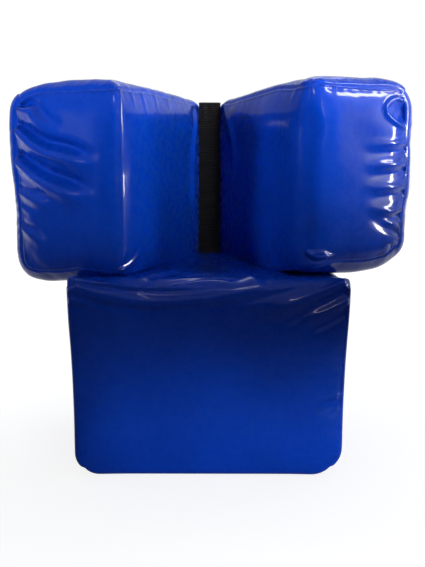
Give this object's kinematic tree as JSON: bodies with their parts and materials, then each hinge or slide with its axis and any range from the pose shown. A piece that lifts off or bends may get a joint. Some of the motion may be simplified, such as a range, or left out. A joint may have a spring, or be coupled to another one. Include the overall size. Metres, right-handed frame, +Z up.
{
  "type": "rugby jackal bag",
  "caption": "Padded base block carrying two padded arms that splay from an upright webbing hinge, for practising the jackal at a tackle.",
  "frame": {"origin": "middle of the base block's underside, on the floor", "axes": "+X to the bag's left arm as seen from behind, which is to the right in the picture, +Y to the hinge side, +Z up"},
  "size_m": [0.9166, 0.5658, 0.8723],
  "materials": {
    "coated_fabric_blue": "gloss",
    "foam_grey": "matte",
    "foam_white": "matte",
    "webbing_black": "matte",
    "zip_black": "satin",
    "nickel": "satin"
  },
  "bodies": {
    "base": {"base_front_cover": "coated_fabric_blue", "base_side_cover": "coated_fabric_blue", "base_floor_cover": "coated_fabric_blue", "base_rear_cover": "coated_fabric_blue", "base_foam_core": "foam_grey", "base_strike_foam": "foam_white", "base_zip_tape": "zip_black", "base_handle_backing": "coated_fabric_blue", "base_handle_strap": "webbing_black", "base_vent_left": "nickel", "base_vent_right": "nickel", "hinge_anchor_patch": "coated_fabric_blue", "hinge_spine": "webbing_black"},
    "base_slider": {"base_zip_slider": "nickel"},
    "base_puller": {"base_zip_puller": "nickel"},
    "left_arm": {"left_arm_wrap_cover": "coated_fabric_blue", "left_arm_band_cover": "coated_fabric_blue", "left_arm_rear_cover": "coated_fabric_blue", "left_arm_foam_core": "foam_grey", "left_arm_end_foam": "foam_white", "left_arm_hinge_tape": "webbing_black", "left_arm_zip_tape": "zip_black", "left_arm_handle_backing": "coated_fabric_blue", "left_arm_handle_strap": "webbing_black", "left_arm_vent_rear": "nickel", "left_arm_vent_front": "nickel"},
    "left_slider": {"left_arm_zip_slider": "nickel"},
    "left_puller": {"left_arm_zip_puller": "nickel"},
    "right_arm": {"right_arm_wrap_cover": "coated_fabric_blue", "right_arm_band_cover": "coated_fabric_blue", "right_arm_rear_cover": "coated_fabric_blue", "right_arm_foam_core": "foam_grey", "right_arm_end_foam": "foam_white", "right_arm_hinge_tape": "webbing_black", "right_arm_zip_tape": "zip_black", "right_arm_handle_backing": "coated_fabric_blue", "right_arm_handle_strap": "webbing_black", "right_arm_vent_rear": "nickel", "right_arm_vent_front": "nickel"},
    "right_slider": {"right_arm_zip_slider": "nickel"},
    "right_puller": {"right_arm_zip_puller": "nickel"}
  },
  "joints": [
    {"name": "left_arm_hinge", "type": "hinge", "parent": "base", "child": "left_arm", "pos_m": [-0.0287, 0.2308, 0.4523], "axis": [0, 0, -1], "range_deg": [-21.6, 28]},
    {"name": "right_arm_hinge", "type": "hinge", "parent": "base", "child": "right_arm", "pos_m": [0.0287, 0.2308, 0.4523], "axis": [0, 0, 1], "range_deg": [-24.2, 25.5]},
    {"name": "base_zip_slide", "type": "slide", "parent": "base", "child": "base_slider", "axis": [1, 0, 0], "range_m": [0, 0.395]},
    {"name": "base_puller_flip", "type": "hinge", "parent": "base_slider", "child": "base_puller", "pos_m": [-0.2005, 0.23645, 0.112], "axis": [0, 0, 1], "range_deg": [0, 165]},
    {"name": "left_arm_zip_slide", "type": "slide", "parent": "left_arm", "child": "left_slider", "axis": [0.3681, 0.9298, 0], "range_m": [0, 0.266]},
    {"name": "left_arm_puller_flip", "type": "hinge", "parent": "left_slider", "child": "left_puller", "pos_m": [-0.43635, 0.00716, 0.5103], "axis": [0, 0, 1], "range_deg": [0, 165]},
    {"name": "right_arm_zip_slide", "type": "slide", "parent": "right_arm", "child": "right_slider", "axis": [0.4099, -0.9121, 0], "range_m": [0, 0.266]},
    {"name": "right_arm_puller_flip", "type": "hinge", "parent": "right_slider", "child": "right_puller", "pos_m": [0.33499, 0.27307, 0.5163], "axis": [0, 0, 1], "range_deg": [0, 165]}
  ]
}
